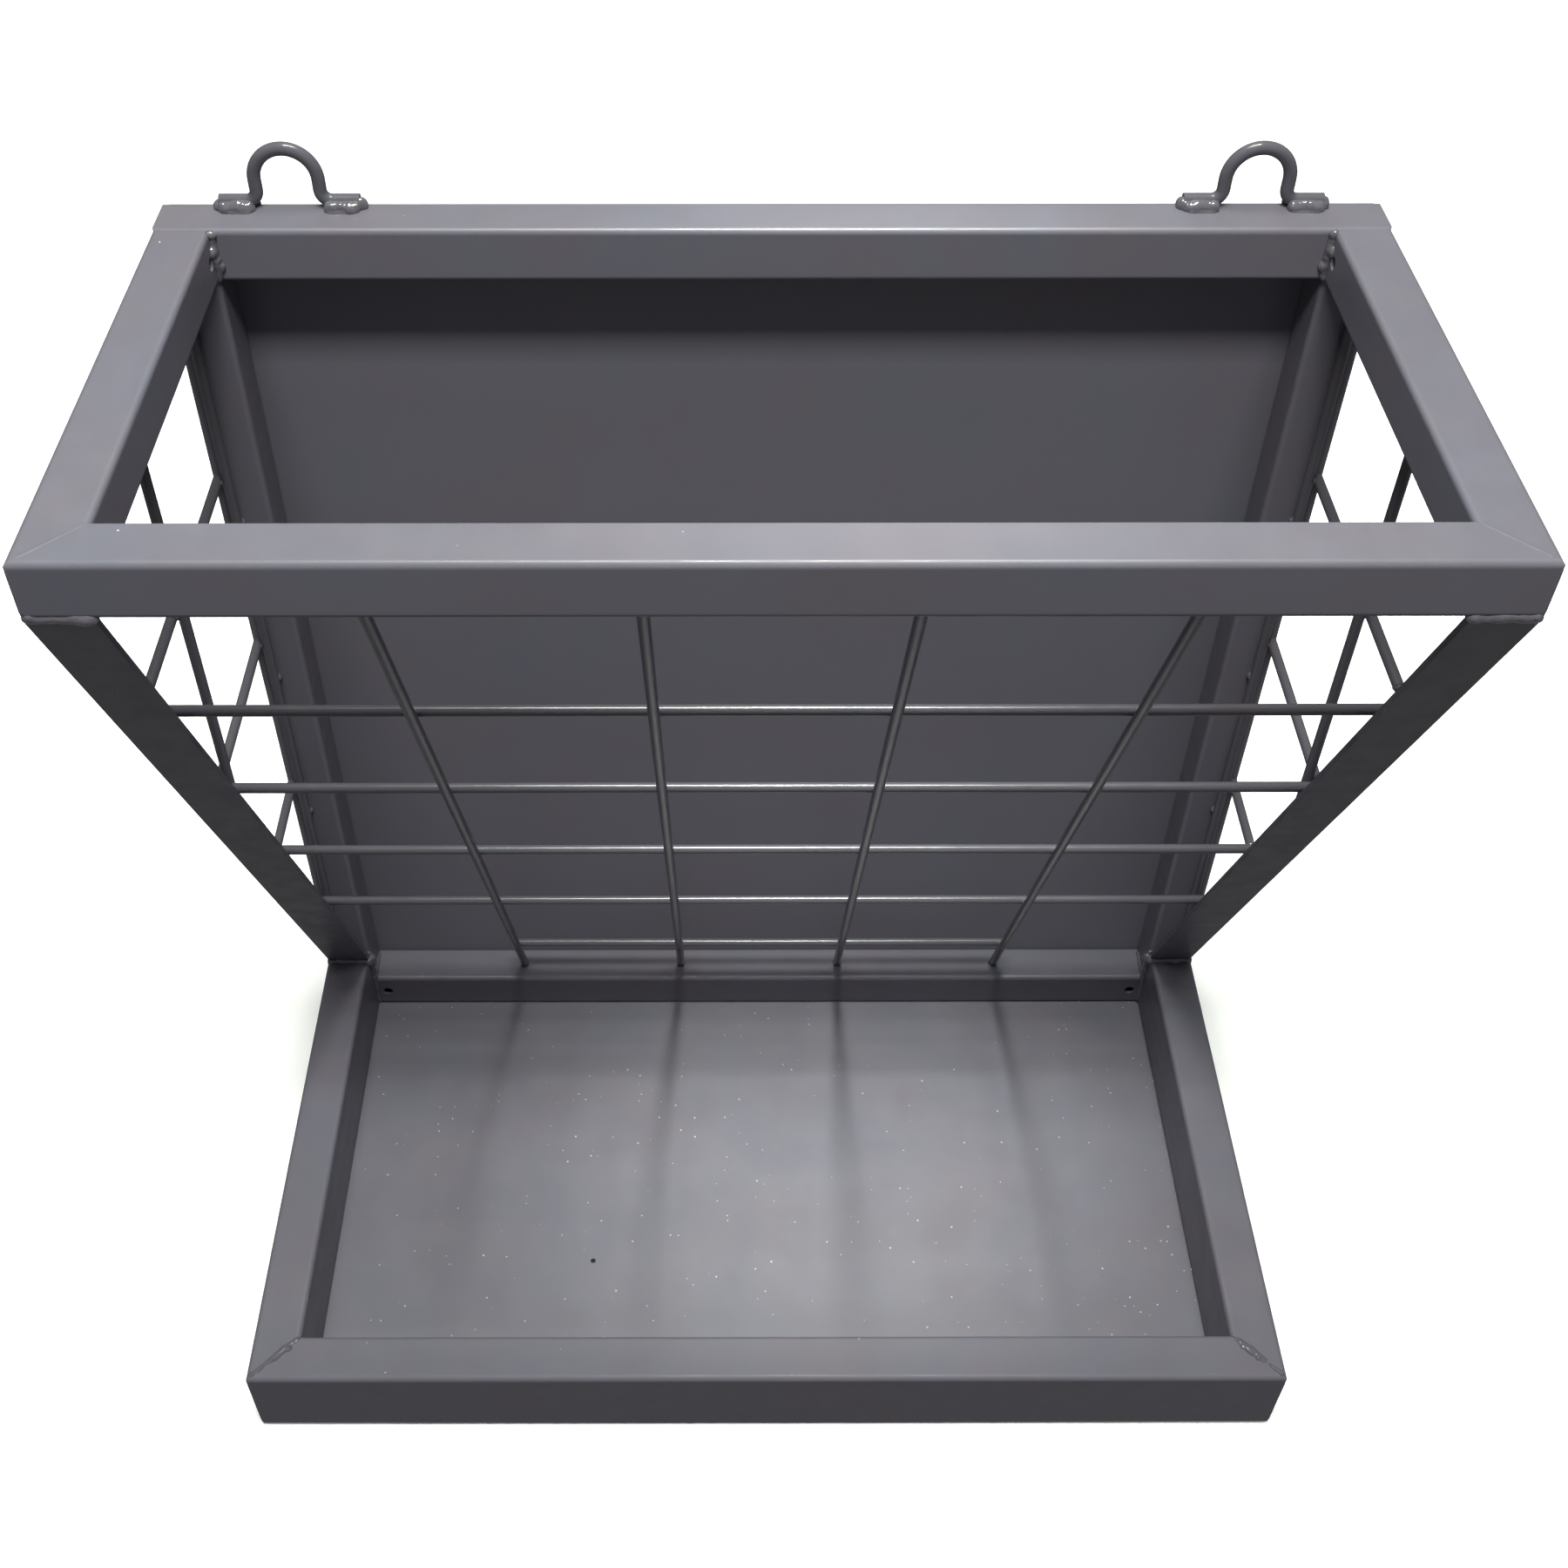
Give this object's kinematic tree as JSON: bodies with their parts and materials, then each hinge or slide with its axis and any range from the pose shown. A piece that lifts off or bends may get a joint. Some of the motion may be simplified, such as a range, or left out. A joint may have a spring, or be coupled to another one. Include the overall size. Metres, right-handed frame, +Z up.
{
  "type": "hay rack feeder",
  "caption": "Welded steel hay rack with a sloping rod grille, open top, shallow catch tray below and bent-rod hanging loops.",
  "frame": {"origin": "centre of the overall box, at the underside of the tray", "axes": "+X to the viewer's right, +Y back towards the wall, +Z up; the tray and grille face -Y"},
  "size_m": [0.54, 0.3116, 0.5735],
  "materials": {
    "tube_paint": "satin graphite powder coat over square tube and angle",
    "sheet_paint": "satin graphite powder coat over sheet, slightly uneven",
    "rod_paint": "satin graphite powder coat over round rod"
  },
  "bodies": {
    "root": {"back_top_rail": "tube_paint", "back_bottom_rail": "tube_paint", "back_left_upright": "tube_paint", "back_right_upright": "tube_paint", "top_left_rail": "tube_paint", "top_right_rail": "tube_paint", "top_front_rail": "tube_paint", "tray_left_rail": "tube_paint", "tray_right_rail": "tube_paint", "tray_front_rail": "tube_paint", "left_leg": "tube_paint", "right_leg": "tube_paint", "back_panel": "sheet_paint", "tray_panel": "sheet_paint", "front_bar_1": "rod_paint", "front_bar_2": "rod_paint", "front_bar_3": "rod_paint", "front_bar_4": "rod_paint", "front_crossbar_1": "rod_paint", "front_crossbar_2": "rod_paint", "front_crossbar_3": "rod_paint", "front_crossbar_4": "rod_paint", "front_crossbar_5": "rod_paint", "left_side_bar_rear": "rod_paint", "left_side_bar_mid": "rod_paint", "left_side_crossbar_1": "rod_paint", "left_side_crossbar_2": "rod_paint", "left_side_crossbar_3": "rod_paint", "left_hanging_loop": "rod_paint", "right_side_bar_rear": "rod_paint", "right_side_bar_mid": "rod_paint", "right_side_crossbar_1": "rod_paint", "right_side_crossbar_2": "rod_paint", "right_side_crossbar_3": "rod_paint", "right_hanging_loop": "rod_paint"}
  },
  "joints": []
}
